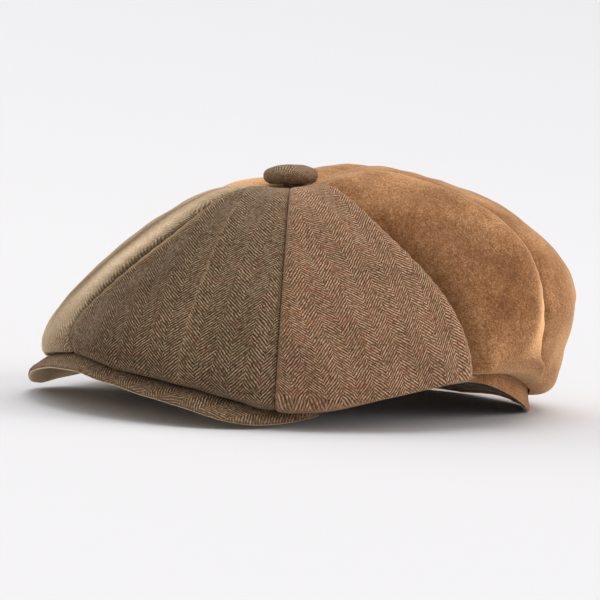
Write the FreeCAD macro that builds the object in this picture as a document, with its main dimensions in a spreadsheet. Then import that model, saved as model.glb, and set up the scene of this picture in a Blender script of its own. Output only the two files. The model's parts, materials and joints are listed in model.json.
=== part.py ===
import FreeCAD, Part
import math
import os
import Sketcher
from FreeCAD import Placement, Rotation, Vector

# Newsboy cap: eight cloth panels meet under a covered button, bag out all round and
# are sewn to a head band; a short arched peak lies under the front fold.
# Millimetres. +Z is up, -Y is the front and +X is the wearer's left.
# The origin is on the resting plane, on the upright axis of the head opening.
# Directions around the cap are angles about that axis or the crown's own axis:
# 0 at the front, 90 at the wearer's left, 180 at the back, 270 at the right.

doc = FreeCAD.newDocument("newsboy_cap")
sheet = doc.addObject("Spreadsheet::Sheet", "Sizes")

SIZES = [
    # Head band: an upright elliptical strip whose lower edge rises and falls.
    ("rim_half_length", 108.0),
    ("rim_half_width", 90.0),
    ("rim_mean_height", 11.2),
    ("rim_wave_one", 7.5),
    ("rim_wave_two", -3.4),
    ("rim_wave_three", 4.2),
    ("rim_wave_four", 3.6),
    ("rim_wave_five", -2.15),
    ("band_height", 24.0),
    ("band_thickness", 1.2),
    # Crown: widest outline, height and fullness of the eight panels.
    ("crown_half_length", 129.3),
    ("crown_half_width", 105.9),
    ("crown_centre_back", -5.3),
    ("apex_back", -20.4),
    ("crown_height", 117.8),
    ("widest_mean_height", 33.0),
    ("widest_wave_one", -17.3),
    ("widest_wave_two", 14.6),
    ("widest_wave_three", 1.75),
    ("front_fullness", 1.25),
    ("back_fullness", 1.76),
    ("underside_fullness", 3.4),
    ("panel_puff", 4.0),
    ("apex_dimple_depth", 14.0),
    ("apex_dimple_radius", 28.0),
    ("apex_hole_radius", 2.0),
    ("front_seam_angle", 54.0),
    ("side_seam_angle", 106.5),
    ("rear_seam_angle", 138.0),
    ("cloth_thickness", 1.2),
    ("band_gap", 1.5),
    ("band_show_back", 13.0),
    # Inside: sweatband, elastic and lining.
    ("sweatband_height", 23.5),
    ("sweatband_thickness", 1.0),
    ("sweatband_set_in", 2.6),
    ("elastic_height", 18.0),
    ("elastic_thickness", 0.8),
    ("elastic_set_in", 1.5),
    ("elastic_half_angle", 26.0),
    ("lining_thickness", 0.5),
    ("lining_set_in", 1.5),
    ("lining_seat", 24.5),
    ("lining_height", 95.0),
    ("lining_fullness", 1.75),
    # Peak: an arched plate of a stiff board between two cloth covers.
    ("peak_tip_reach", 140.7),
    ("peak_half_width", 84.5),
    ("peak_side_radius", 130.0),
    ("peak_widest_reach", 85.0),
    ("peak_front_radius", 116.5),
    ("peak_corner_radius", 38.0),
    ("peak_root_depth", 53.0),
    ("peak_root_gap", 0.3),
    ("peak_root_height", 20.2),
    ("peak_pitch", 3.6),
    ("peak_arch_radius", 209.0),
    ("peak_cover_thickness", 0.9),
    ("peak_board_thickness", 1.2),
    ("peak_board_inset", 2.5),
    # Covered button on the crown's apex, turning on its shank.
    ("button_radius", 13.0),
    ("button_dome_height", 4.9),
    ("button_dome_centre", 2.6),
    ("button_tilt", 5.0),
    ("button_lift", 2.1),
    ("button_cloth", 1.0),
    ("button_shell_thickness", 0.5),
    ("button_plate_radius", 9.5),
    ("button_plate_thickness", 0.6),
    ("shank_radius", 1.2),
    ("shank_drop", 6.5),
    ("prong_length", 7.0),
    ("prong_width", 2.4),
    ("prong_thickness", 0.5),
    ("washer_radius", 9.0),
    ("washer_hole_radius", 1.6),
    ("washer_thickness", 0.6),
    ("washer_drop", 5.4),
]
for row, (alias, value) in enumerate(SIZES, 1):
    sheet.set("A%d" % row, alias)
    sheet.set("B%d" % row, str(value))
    sheet.setAlias("B%d" % row, alias)
doc.recompute()


def size(alias):
    return float(sheet.get(alias))


# --- Curves that the cloth follows -------------------------------------------------

def rim_height(y):
    """Height of the head band's lower edge where the rim ellipse passes y."""
    turn = math.acos(max(-1.0, min(1.0, -y / size("rim_half_length"))))
    waves = ("one", "two", "three", "four", "five")
    return size("rim_mean_height") + sum(
        size("rim_wave_" + word) * math.cos(count * turn) for count, word in enumerate(waves, 1))


def widest_height(angle):
    waves = ("one", "two", "three")
    return size("widest_mean_height") + sum(
        size("widest_wave_" + word) * math.cos(count * angle) for count, word in enumerate(waves, 1))


def reach(angle, half_width, half_length, centre_y):
    """Distance from the crown's axis to an ellipse, along one direction."""
    across, along = math.sin(angle) / half_width, -math.cos(angle) / half_length
    start = (size("apex_back") - centre_y) / half_length
    square, cross = across * across + along * along, start * along
    return (-cross + math.sqrt(cross * cross - square * (start * start - 1.0))) / square


def rim_reach(angle):
    return reach(angle, size("rim_half_width"), size("rim_half_length"), 0.0)


def place(angle, radius, height):
    return Vector(radius * math.sin(angle), size("apex_back") - radius * math.cos(angle), height)


SEAMS = [0.0] + [math.radians(size(name)) for name in
                 ("front_seam_angle", "side_seam_angle", "rear_seam_angle")]
SEAMS += [math.pi] + [2.0 * math.pi - angle for angle in reversed(SEAMS[:4])]


def crown_point(angle, step, depth, first, last):
    """A point of the panel between two seams. step runs 0 to 1 from the apex hole to
    the widest line and on to 2 at the head band; depth is how far inside the cloth."""
    widest = reach(angle, size("crown_half_width"), size("crown_half_length"), size("crown_centre_back"))
    side_height = widest_height(angle)
    mean = 0.5 * (size("front_fullness") + size("back_fullness"))
    swing = 0.5 * (size("front_fullness") - size("back_fullness"))
    fullness = mean + swing * math.cos(angle)
    share = 2.0 * (angle - first) / (last - first) - 1.0
    puff = size("panel_puff") * max(0.0, 1.0 - abs(share) ** 2.4)
    if step <= 1.0:
        start = size("apex_hole_radius") / widest
        out = start + (1.0 - start) * math.sin(step * math.pi / 2.0)
        up = max(0.0, 1.0 - out ** fullness) ** (1.0 / fullness)
        radius = widest * out
        height = side_height + (size("crown_height") - side_height) * up
        height -= size("apex_dimple_depth") * math.exp(-(radius / size("apex_dimple_radius")) ** 2)
        puff *= out ** (0.3 * fullness)
        normal = (out, up)
    else:
        quarter = (step - 1.0) * math.pi / 2.0
        power = 2.0 / size("underside_fullness")
        inner = rim_reach(angle)
        y = size("apex_back") - inner * math.cos(angle)
        show = size("band_show_back") * max(0.0, -math.cos(angle)) ** 1.2
        foot = rim_height(y) + show
        inner += size("band_gap")
        radius = inner + max(0.0, math.cos(quarter)) ** power * (widest - inner)
        height = side_height - (side_height - foot) * math.sin(quarter) ** power
        puff *= max(0.0, math.cos(quarter))
        normal = (1.0, -math.sin(quarter))
    length = math.hypot(*normal)
    move = puff - depth
    return place(angle, radius + move * normal[0] / length, height + move * normal[1] / length)


def strip_point(angle, share, inset, foot, top):
    """A point of an upright strip that follows the rim, inset inside its outer face."""
    radius = rim_reach(angle)
    y = size("apex_back") - radius * math.cos(angle)
    return place(angle, radius - inset, rim_height(y) + foot + share * (top - foot))


def lining_point(angle, step, depth):
    """A point of the lining, a loose dome from its apex to the sweatband's top."""
    edge = rim_reach(angle) - size("lining_set_in")
    y = size("apex_back") - rim_reach(angle) * math.cos(angle)
    foot = rim_height(y) + size("lining_seat")
    start = size("apex_hole_radius") / edge
    out = start + (1.0 - start) * math.sin(step * math.pi / 2.0)
    up = max(0.0, 1.0 - out ** size("lining_fullness")) ** (1.0 / size("lining_fullness"))
    length = math.hypot(out, up)
    return place(angle, edge * out - depth * out / length,
                 foot + (size("lining_height") - foot) * up - depth * up / length)


# --- Thin solids of cloth ---------------------------------------------------------

def even_steps(line, last, count):
    """Values from 0 to last that cut the line into lengths that are all the same."""
    fine = 400
    points = [line(last * index / fine) for index in range(fine + 1)]
    run = [0.0]
    for before, after in zip(points, points[1:]):
        run.append(run[-1] + before.distanceToPoint(after))
    steps, index = [], 0
    for part in range(count):
        goal = run[-1] * part / (count - 1)
        while index < fine - 1 and run[index + 1] < goal:
            index += 1
        share = (goal - run[index]) / (run[index + 1] - run[index])
        steps.append(last * (index + min(1.0, share)) / fine)
    return steps


def skin(outer, inner):
    """The closed solid between two grids of points of the same size."""
    surfaces = []
    for grid in (outer, inner):
        surface = Part.BSplineSurface()
        surface.interpolate(grid)
        surfaces.append(surface)
    faces = [surface.toShape() for surface in surfaces]
    for side in range(4):
        pair = []
        for surface in surfaces:
            low_u, high_u, low_v, high_v = surface.bounds()
            curve = (surface.uIso(low_u), surface.uIso(high_u),
                     surface.vIso(low_v), surface.vIso(high_v))[side]
            pair.append(curve.toShape())
        faces.append(Part.makeRuledSurface(*pair))
    shell = Part.makeShell(faces)
    shell.sewShape()
    solid = Part.makeSolid(shell)
    if solid.Volume < 0.0:
        solid.reverse()
    return solid


NODES = []


def keep(item, name, placement=None):
    item.Label = name
    item.Placement = placement or item.Placement
    NODES.append(item)
    return item


def feature(name, shape):
    item = doc.addObject("Part::Feature", name)
    item.Shape = shape
    return keep(item, name, Placement())


def spread(first, last, count):
    return [first + (last - first) * index / (count - 1) for index in range(count)]


PANELS = ("panel_front_left", "panel_side_left", "panel_rear_side_left", "panel_back_left",
          "panel_back_right", "panel_rear_side_right", "panel_side_right", "panel_front_right")


def crown_panel(name, first, last):
    middle = 0.5 * (first + last)
    steps = even_steps(lambda step: crown_point(middle, step, 0.0, first, last), 2.0, 30)
    angles = spread(first, last, 11)
    grids = [[[crown_point(angle, step, depth, first, last) for step in steps] for angle in angles]
             for depth in (0.0, size("cloth_thickness"))]
    feature(name, skin(*grids))


def strip(inset, thickness, foot, top, first, last, count):
    heights = (0.0, 0.25, 0.5, 0.75, 1.0)
    grids = [[[strip_point(angle, share, inset + depth, foot, top) for share in heights]
              for angle in spread(first, last, count)] for depth in (0.0, thickness)]
    return skin(*grids)


def lining_gore(name, first, last):
    steps = even_steps(lambda step: lining_point(0.5 * (first + last), step, 0.0), 1.0, 18)
    grids = [[[lining_point(angle, step, depth) for step in steps] for angle in spread(first, last, 13)]
             for depth in (0.0, size("lining_thickness"))]
    feature(name, skin(*grids))


for name, first, last in zip(PANELS, SEAMS, SEAMS[1:] + [2.0 * math.pi]):
    crown_panel(name, first, last)

# The outer head band and the sweatband are strips whose ends meet at the back.
joint_gap = math.radians(0.15)
back, round_again = math.pi + joint_gap, 3.0 * math.pi - joint_gap
band = strip(0.0, size("band_thickness"), 0.0, size("band_height"), back, round_again, 73)
ground = Part.makeBox(400.0, 400.0, 20.0, Vector(-200.0, -200.0, -20.0))
feature("head_band", band.cut(ground))
feature("sweatband", strip(size("sweatband_set_in"), size("sweatband_thickness"),
                           1.0, size("sweatband_height"), back, round_again, 73))
half_angle = math.radians(size("elastic_half_angle"))
feature("back_elastic", strip(size("elastic_set_in"), size("elastic_thickness"),
                              3.0, 3.0 + size("elastic_height"),
                              math.pi - half_angle, math.pi + half_angle, 15))
for name, first in (("lining_front_left", 0), ("lining_back_left", 90),
                    ("lining_back_right", 180), ("lining_front_right", 270)):
    lining_gore(name, math.radians(first), math.radians(first + 90))


# --- Peak: plates cut from arched tubes by the plan outline ------------------------

def solid(kind, name, placement=None, **sizes):
    """A Part primitive whose sizes are bound to the sheet."""
    item = doc.addObject("Part::" + kind, name)
    for key, expression in sizes.items():
        item.setExpression(key, expression)
    item.Placement = placement or Placement()
    return item


def combine(kind, name, base, tool):
    item = doc.addObject("Part::" + kind, name)
    item.Base, item.Tool = base, tool
    return item


def common(name, *shapes):
    item = doc.addObject("Part::MultiCommon", name)
    item.Shapes = list(shapes)
    return item


TALL = 120.0


def peak_plan(name, inset):
    """An upright block of the peak's outline: a large front arc that rounds into two
    flanks, which run back to the rim's ellipse."""
    bottom = "%g" % (-TALL / 3.0)
    front = solid("Cylinder", name + "_front", Radius="Sizes.peak_front_radius - %g" % inset,
                  Height="%g" % TALL)
    front.setExpression("Placement.Base.y", "Sizes.peak_front_radius - Sizes.peak_tip_reach")
    front.setExpression("Placement.Base.z", bottom)
    blocks = [front]
    for side in (-1, 1):
        flank = solid("Cylinder", name + "_flank", Radius="Sizes.peak_side_radius - %g" % inset,
                      Height="%g" % TALL)
        flank.setExpression("Placement.Base.x", "%d * (Sizes.peak_side_radius - Sizes.peak_half_width)"
                            % side)
        flank.setExpression("Placement.Base.y", "-Sizes.peak_widest_reach")
        flank.setExpression("Placement.Base.z", bottom)
        blocks.append(flank)
    ends = solid("Box", name + "_ends", Length="2 * Sizes.peak_half_width",
                 Width="Sizes.peak_tip_reach - Sizes.peak_root_depth - %g" % inset, Height="%g" % TALL)
    ends.setExpression("Placement.Base.x", "-Sizes.peak_half_width")
    ends.setExpression("Placement.Base.y", "-Sizes.peak_tip_reach")
    ends.setExpression("Placement.Base.z", bottom)
    outline = common(name + "_outline", ends, *blocks)
    doc.recompute()
    corners = [index for index, edge in enumerate(outline.Shape.Edges, 1)
               if abs(edge.tangentAt(edge.FirstParameter).z) > 0.99
               and edge.BoundBox.YMax < -size("peak_root_depth") - 5.0]
    rounded = doc.addObject("Part::Fillet", name + "_rounded")
    rounded.Base = outline
    radius = size("peak_corner_radius") - inset
    rounded.Edges = [(index, radius, radius) for index in corners]
    rim = doc.addObject("Part::Ellipse", name + "_rim")
    rim.setExpression("MajorRadius", "Sizes.rim_half_length + Sizes.peak_root_gap + %g" % inset)
    rim.setExpression("MinorRadius", "Sizes.rim_half_width + Sizes.peak_root_gap + %g" % inset)
    rim.Placement = Placement(Vector(0, 0, -TALL / 3.0), Rotation(Vector(0, 0, 1), 90.0))
    hole = doc.addObject("Part::Extrusion", name + "_hole")
    hole.Base, hole.Dir, hole.Solid = rim, Vector(0, 0, TALL), True
    return combine("Cut", name, rounded, hole)


def arched_tube(name, top, bottom):
    """A tube along the peak's pitch, whose crown passes through the peak's root."""
    lean = math.radians(size("peak_pitch"))
    depth = size("peak_arch_radius")
    root = Vector(0.0, -size("rim_half_length"), size("peak_root_height"))
    along = Vector(0.0, -math.cos(lean), -math.sin(lean))
    down = Vector(0.0, math.sin(lean), -math.cos(lean))
    start = root + down * depth - along * 100.0
    pose = Placement(start, Rotation(Vector(0, 0, 1), along))
    outer = solid("Cylinder", name + "_over", pose, Radius="Sizes.peak_arch_radius - (%s)" % top,
                  Height="200")
    inner = solid("Cylinder", name + "_under", pose, Radius="Sizes.peak_arch_radius - (%s)" % bottom,
                  Height="200")
    return combine("Cut", name, outer, inner)


inset = size("peak_board_inset")
full_plan, board_plan = peak_plan("peak_outline", 0.0), peak_plan("board_outline", inset)
cover, board = "Sizes.peak_cover_thickness", "Sizes.peak_board_thickness"
whole = "2 * %s + %s" % (cover, board)
upper = arched_tube("upper_layer", "0", cover)
middle = arched_tube("board_layer", cover, cover + " + " + board)
lower = arched_tube("lower_layer", cover, whole)
keep(common("peak_upper_cover", full_plan, upper), "peak_upper_cover")
keep(common("peak_board", board_plan, middle), "peak_board")
pocket = common("board_pocket", board_plan, middle)
lower_plate = common("lower_plate", full_plan, lower)
keep(combine("Cut", "peak_lower_cover", lower_plate, pocket), "peak_lower_cover")

# --- Covered button: cover, shell, back plate and pronged shank, and a washer ------

apex = Vector(0.0, size("apex_back"), size("crown_height") - size("apex_dimple_depth"))
tilt = Rotation(Vector(1, 0, 0), size("button_tilt"))
button_pose = Placement(apex + tilt.multVec(Vector(0, 0, size("button_lift"))), tilt)


def dome(name, shrink, floor):
    """The upper part of a flattened ball, shrunk all round and cut flat at its floor."""
    ball = solid("Ellipsoid", name + "_ball", Radius1="Sizes.button_dome_height - (%s)" % shrink,
                 Radius2="Sizes.button_radius - (%s)" % shrink,
                 Radius3="Sizes.button_radius - (%s)" % shrink)
    ball.setExpression("Placement.Base.z", "Sizes.button_dome_centre")
    block = solid("Cylinder", name + "_block", Radius="2 * Sizes.button_radius",
                  Height="2 * Sizes.button_radius")
    block.setExpression("Placement.Base.z", floor)
    return common(name, ball, block)


cloth, metal = "Sizes.button_cloth", "Sizes.button_shell_thickness"
keep(combine("Cut", "button_cover", dome("cover_outside", "0", "0"),
             dome("cover_inside", cloth + " + 0.05", "-1")), "button_cover", button_pose)
keep(combine("Cut", "button_shell", dome("shell_outside", cloth + " + 0.1", "0.4"),
             dome("shell_inside", cloth + " + 0.1 + " + metal, "-1")), "button_shell", button_pose)


def body(name):
    item = doc.addObject("PartDesign::Body", name)
    item.Label = name
    return item


def flat_sketch(owner, name, height):
    """A sketch on the body's own XY plane, moved along its axis."""
    sketch = owner.newObject("Sketcher::SketchObject", name)
    plane = [item for item in owner.Origin.OriginFeatures if item.Role == "XY_Plane"][0]
    sketch.AttachmentSupport = [(plane, "")]
    sketch.MapMode = "FlatFace"
    sketch.setExpression("AttachmentOffset.Base.z", height)
    return sketch


def add_circle(sketch, radius):
    circle = sketch.addGeometry(Part.Circle(Vector(), Vector(0, 0, 1), 1.0), False)
    sketch.addConstraint(Sketcher.Constraint("Coincident", circle, 3, -1, 1))
    row = sketch.addConstraint(Sketcher.Constraint("Radius", circle, 1.0))
    sketch.setExpression("Constraints[%d]" % row, radius)


def add_rectangle(sketch, half_x, half_y):
    corners = [Vector(-9, -2, 0), Vector(9, -2, 0), Vector(9, 2, 0), Vector(-9, 2, 0)]
    lines = [sketch.addGeometry(Part.LineSegment(one, two), False)
             for one, two in zip(corners, corners[1:] + corners[:1])]
    for one, two in zip(lines, lines[1:] + lines[:1]):
        sketch.addConstraint(Sketcher.Constraint("Coincident", one, 2, two, 1))
    for line, kind in zip(lines, ("Horizontal", "Vertical", "Horizontal", "Vertical")):
        sketch.addConstraint(Sketcher.Constraint(kind, line))
    sketch.addConstraint(Sketcher.Constraint("Symmetric", lines[0], 1, lines[2], 1, -1, 1))
    for kind, line, expression in (("DistanceX", lines[0], half_x), ("DistanceY", lines[1], half_y)):
        row = sketch.addConstraint(Sketcher.Constraint(kind, line, 1, line, 2, 3.0))
        sketch.setExpression("Constraints[%d]" % row, "2 * (%s)" % expression)


def pad(owner, name, sketch, length):
    item = owner.newObject("PartDesign::Pad", name)
    item.Profile = sketch
    item.setExpression("Length", length)
    sketch.Visibility = False
    doc.recompute()
    return item


def disc(name, radius, hole, height, thickness, pose):
    """A flat disc with a hole at its centre."""
    item = body(name)
    sketch = flat_sketch(item, name + "_profile", height)
    add_circle(sketch, radius)
    add_circle(sketch, hole)
    pad(item, name + "_pad", sketch, thickness)
    keep(item, name, pose)


disc("button_back_plate", "Sizes.button_plate_radius", "Sizes.shank_radius + 0.05", "0.9",
     "Sizes.button_plate_thickness", button_pose)
disc("apex_washer", "Sizes.washer_radius", "Sizes.washer_hole_radius", "-Sizes.washer_drop",
     "Sizes.washer_thickness", button_pose)

shank = body("button_prong")
stem = flat_sketch(shank, "stem_profile", "-Sizes.shank_drop")
add_circle(stem, "Sizes.shank_radius")
pad(shank, "stem_pad", stem, "Sizes.shank_drop + 2.2")
head = flat_sketch(shank, "head_profile", "0.9 + Sizes.button_plate_thickness + 0.05")
add_circle(head, "2.5 * Sizes.shank_radius")
pad(shank, "head_pad", head, "0.6")
legs = flat_sketch(shank, "legs_profile", "-Sizes.shank_drop")
add_rectangle(legs, "Sizes.prong_length", "Sizes.prong_width / 2")
pad(shank, "legs_pad", legs, "Sizes.prong_thickness")
keep(shank, "button_prong", button_pose)

# --- Checks and files ---------------------------------------------------------------

doc.recompute()
for item in doc.Objects:
    if any(word in item.State for word in ("Invalid", "Error")):
        raise RuntimeError("%s did not build: %s" % (item.Name, item.State))
os.makedirs("parts", exist_ok=True)
for item in NODES:
    if item.Shape.isNull() or not item.Shape.isValid():
        raise RuntimeError("%s has no valid shape" % item.Label)
    print("%-24s %9.1f mm3  z %6.1f to %6.1f" % (
        item.Label, item.Shape.Volume, item.Shape.BoundBox.ZMin, item.Shape.BoundBox.ZMax))
    item.Shape.exportStep("parts/%s.step" % item.Label)
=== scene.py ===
import json
import math
import bpy
import numpy as np
from mathutils import Matrix, Vector


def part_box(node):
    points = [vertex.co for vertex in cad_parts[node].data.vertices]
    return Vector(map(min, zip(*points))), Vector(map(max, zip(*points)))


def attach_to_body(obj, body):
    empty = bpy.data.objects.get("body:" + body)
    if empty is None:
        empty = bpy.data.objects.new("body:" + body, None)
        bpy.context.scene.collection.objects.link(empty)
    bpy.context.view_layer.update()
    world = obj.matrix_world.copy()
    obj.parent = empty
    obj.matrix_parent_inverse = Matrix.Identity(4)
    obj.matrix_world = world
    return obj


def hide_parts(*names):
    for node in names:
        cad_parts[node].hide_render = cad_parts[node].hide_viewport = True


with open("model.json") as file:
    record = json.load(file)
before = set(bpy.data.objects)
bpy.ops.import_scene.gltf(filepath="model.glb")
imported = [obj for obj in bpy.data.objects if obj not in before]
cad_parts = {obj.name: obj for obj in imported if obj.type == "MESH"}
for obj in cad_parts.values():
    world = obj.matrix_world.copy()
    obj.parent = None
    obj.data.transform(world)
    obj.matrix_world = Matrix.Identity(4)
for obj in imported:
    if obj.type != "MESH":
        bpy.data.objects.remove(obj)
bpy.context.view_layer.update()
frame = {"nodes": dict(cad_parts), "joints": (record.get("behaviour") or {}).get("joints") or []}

# The newsboy cap's cloth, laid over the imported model, in millimetres: +Z up, -Y the
# front, +X the wearer's left. The rim, the crown's curves and the peak's outline, pitch
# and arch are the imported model's own. Seam pulls, extra fullness, folds, sags and the
# peak's lifted edges are added here. Directions about the crown's axis are angles, 0 at
# the front and a quarter turn at the wearer's left. Meshes are scaled to metres when
# they are made.

TURN = 2.0 * math.pi

# The opening's rim, and the crown's widest line: half lengths, and heights as cosine
# waves round the cap.
RIM_LONG, RIM_WIDE = 108.0, 90.0
RIM_WAVES = (11.2, 7.5, -3.4, 4.2, 3.6, -2.15)
WIDEST_WAVES = (33.0, -17.3, 14.6, 1.75)
CROWN_LONG, CROWN_WIDE, CROWN_BACK = 129.3, 105.9, -5.3
APEX_BACK, CROWN_HIGH = -20.4, 117.8
FRONT_FULL, BACK_FULL, UNDER_FULL = 1.25, 1.76, 3.4
DIMPLE_DEEP, DIMPLE_WIDE = 14.0, 28.0
BAND_GAP, BAND_SHOW, BAND_HIGH = 1.5, 13.0, 24.0
PUFF = 4.0
APEX_HOLE = 2.0
CLOTH = 1.3

# Crown seams: direction, drift under the crown, and how much of the puff each seam
# takes away. A pull is degrees sideways, the step it is centred on, and its spread.
SEAM_DEGREES = (0.0, 54.0, 106.5, 138.0, 180.0, 222.0, 253.5, 306.0, 360.0)
SEAM_DRIFT = (0.0, 1.0, 12.0, 6.0, 0.0, -6.0, -12.0, -1.0, 0.0)
SEAM_FALL = (1.0, 0.55, 1.0, 1.0, 1.0, 1.0, 1.0, 0.55, 1.0)
FRONT_SEAM_PULL = ((3.6, 0.37, 0.12), (-4.3, 0.80, 0.21), (-2.0, 1.15, 0.30))
SIDE_SEAM_PULL = ((-11.5, 0.24, 0.31),)
REAR_SEAM_PULL = ((-11.0, 1.02, 0.36),)
SEAM_PULL = {0: FRONT_SEAM_PULL, 2: SIDE_SEAM_PULL, 3: REAR_SEAM_PULL, 8: FRONT_SEAM_PULL}

# The peak: its outline's reach and arcs, and its pitch and arch.
PEAK_TIP, PEAK_WIDE, PEAK_ROOT = 140.7, 84.5, 20.2
PEAK_FRONT_ROUND, PEAK_SIDE_ROUND, PEAK_CORNER_ROUND = 116.5, 130.0, 38.0
PEAK_WIDEST, PEAK_ARCH, PEAK_PITCH = 85.0, 209.0, math.radians(3.6)
PEAK_THICK = 3.0
PEAK_END = math.radians(67.0)


# --- Curves of the cap --------------------------------------------------------------

def bell(value):
    """A smooth bump, 1 at 0 and almost nothing beyond 2 either way."""
    return np.exp(-value ** 2)


def around(centre, width):
    """A bell as a function of place."""
    return lambda value: bell((value - centre) / width)


def beyond(start, width):
    """A ramp from 0 to 1 as a function of place."""
    return lambda value: np.clip((value - start) / width, 0.0, 1.0)


def waves(amounts, angle):
    """Cosine waves of 0, 1, 2 and more turns round the cap, added up."""
    return sum(amount * np.cos(count * angle) for count, amount in enumerate(amounts))


def rim_height(y):
    return waves(RIM_WAVES, np.arccos(np.clip(-y / RIM_LONG, -1.0, 1.0)))


def reach(angle, wide, long, centre=0.0):
    """Distance from the crown's axis to an ellipse, along one direction."""
    across, along = np.sin(angle) / wide, -np.cos(angle) / long
    start = (APEX_BACK - centre) / long
    square, cross = across ** 2 + along ** 2, start * along
    return (-cross + np.sqrt(cross ** 2 - square * (start ** 2 - 1.0))) / square


def together(*values):
    """Values as the last axis of one array."""
    return np.stack(np.broadcast_arrays(*values), -1)


def place(angle, radius, height):
    """Points from a direction about the crown's axis, a distance from it and a height."""
    return together(radius * np.sin(angle), APEX_BACK - radius * np.cos(angle), height)


def crown_line(angle, step, band_show=BAND_SHOW):
    """Radius, height and outward direction of the crown with no puff. step runs 0 to 1
    from the apex to the widest line, and on to 2 at the head band."""
    widest = reach(angle, CROWN_WIDE, CROWN_LONG, CROWN_BACK)
    side = waves(WIDEST_WAVES, angle)
    full = 0.5 * (FRONT_FULL + BACK_FULL) + 0.5 * (FRONT_FULL - BACK_FULL) * np.cos(angle)
    start = APEX_HOLE / widest
    out = start + (1.0 - start) * np.sin(np.clip(step, 0.0, 1.0) * math.pi / 2.0)
    up = np.maximum(0.0, 1.0 - out ** full) ** (1.0 / full)
    upper_radius = widest * out
    upper_height = side + (CROWN_HIGH - side) * up - DIMPLE_DEEP * bell(upper_radius / DIMPLE_WIDE)
    quarter = np.clip(step - 1.0, 0.0, 1.0) * math.pi / 2.0
    power = 2.0 / UNDER_FULL
    rim = reach(angle, RIM_WIDE, RIM_LONG)
    backward = np.maximum(0.0, -np.cos(angle))
    foot = rim_height(APEX_BACK - rim * np.cos(angle)) + band_show * backward ** 1.2
    rim = rim + BAND_GAP
    lower_radius = rim + np.maximum(0.0, np.cos(quarter)) ** power * (widest - rim)
    lower_height = side - (side - foot) * np.sin(quarter) ** power
    top = step <= 1.0
    radius = np.where(top, upper_radius, lower_radius)
    height = np.where(top, upper_height, lower_height)
    level = np.where(top, out, 1.0)
    rise = np.where(top, up, -np.sin(quarter))
    length = np.hypot(level, rise)
    swell = np.where(top, out ** (0.3 * full), np.maximum(0.0, np.cos(quarter)))
    return radius, height, level / length, rise / length, swell


def bumps(rows, value):
    """The sum of bells, each given as amount, centre and width."""
    return sum(amount * bell((value - centre) / width) for amount, centre, width in rows)


def seam_angle(index, step):
    """A crown seam's direction along its length."""
    drift = np.clip(step - 1.25, 0.0, 0.75) / 0.75
    pulled = bumps(SEAM_PULL.get(index, ()), step)
    return np.radians(SEAM_DEGREES[index] + SEAM_DRIFT[index] * drift ** 1.5 + pulled)


def wobble(points, size, seed, octaves=7):
    """Smooth noise in space, about -1 to 1, whose lumps are about size millimetres."""
    local = np.random.default_rng(seed)
    total = np.zeros(points.shape[:-1])
    for _ in range(octaves):
        way = local.normal(size=3)
        way *= TURN / size / np.linalg.norm(way) * local.uniform(0.6, 1.4)
        total += np.sin(points @ way + local.uniform(0.0, TURN))
    return total / math.sqrt(octaves)


def disc_reach(angle, centre_x, centre_y, radius):
    """Distance from the crown's axis to the far side of a disc, along one direction."""
    way_x, way_y = np.sin(angle), -np.cos(angle)
    along = way_x * centre_x + way_y * (centre_y - APEX_BACK)
    square = centre_x ** 2 + (centre_y - APEX_BACK) ** 2 - radius ** 2
    return along + np.sqrt(np.maximum(along ** 2 - square, 0.0))


def outline_reach(angle):
    """Distance from the crown's axis to the peak's outline: a wide front arc and two
    flank arcs, joined by corner arcs."""
    angle = np.abs(angle)
    front = np.array([0.0, PEAK_FRONT_ROUND - PEAK_TIP])
    flank = np.array([PEAK_WIDE - PEAK_SIDE_ROUND, -PEAK_WIDEST])
    from_front, from_flank = PEAK_FRONT_ROUND - PEAK_CORNER_ROUND, PEAK_SIDE_ROUND - PEAK_CORNER_ROUND
    span = np.linalg.norm(flank - front)
    along = (from_front ** 2 - from_flank ** 2 + span ** 2) / (2.0 * span)
    way = (flank - front) / span
    corner = front + along * way + math.sqrt(from_front ** 2 - along ** 2) * np.array([-way[1], way[0]])
    first = front + (corner - front) * PEAK_FRONT_ROUND / from_front
    last = flank + (corner - flank) * PEAK_SIDE_ROUND / from_flank
    first_angle, last_angle = (math.atan2(spot[0], APEX_BACK - spot[1]) for spot in (first, last))
    on_front = disc_reach(angle, *front, PEAK_FRONT_ROUND)
    on_corner = disc_reach(angle, *corner, PEAK_CORNER_ROUND)
    on_flank = disc_reach(angle, *flank, PEAK_SIDE_ROUND)
    return np.select([angle < first_angle, angle < last_angle], [on_front, on_corner], on_flank)


def peak_top(x, y):
    """Height of the peak's upper side: pitched forward, arched across, and swollen
    between the edge and the crown. The edge lifts at its corners and most of all on
    the wearer's right, where the corner between is curled down."""
    angle = np.arctan2(x, APEX_BACK - y)
    radius = np.hypot(x, y - APEX_BACK)
    inside = np.maximum(outline_reach(angle) - radius, 0.0)
    from_root = np.maximum(radius - reach(angle, RIM_WIDE, RIM_LONG), 0.0)
    arched = np.sqrt(PEAK_ARCH ** 2 - x ** 2) - PEAK_ARCH
    height = PEAK_ROOT - np.tan(PEAK_PITCH) * (-y - RIM_LONG) + arched
    swell = (3.0 + 2.6 * bell((angle + 0.35) / 0.45)) * bell(angle / 0.9)
    swell = swell * (1.0 - bell(inside / 7.0)) * (1.0 - bell(from_root / 5.0))
    corner_lift = 2.3 * bell((np.abs(angle) - 0.63) / 0.21)
    front_lift = 2.4 * bell((angle - 0.05) / 0.32)
    right_lift = 6.5 * np.clip((-angle - 0.74) / 0.30, 0.0, 1.0)
    lifted = (corner_lift + front_lift + right_lift) * bell(inside / 22.0)
    curl = 1.2 * bell((inside - 13.0) / 8.0) - 3.4 * bell(inside / 6.0)
    return height + swell + lifted + curl * bell((angle + 0.62) / 0.17)


# --- Meshes -------------------------------------------------------------------------

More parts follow.
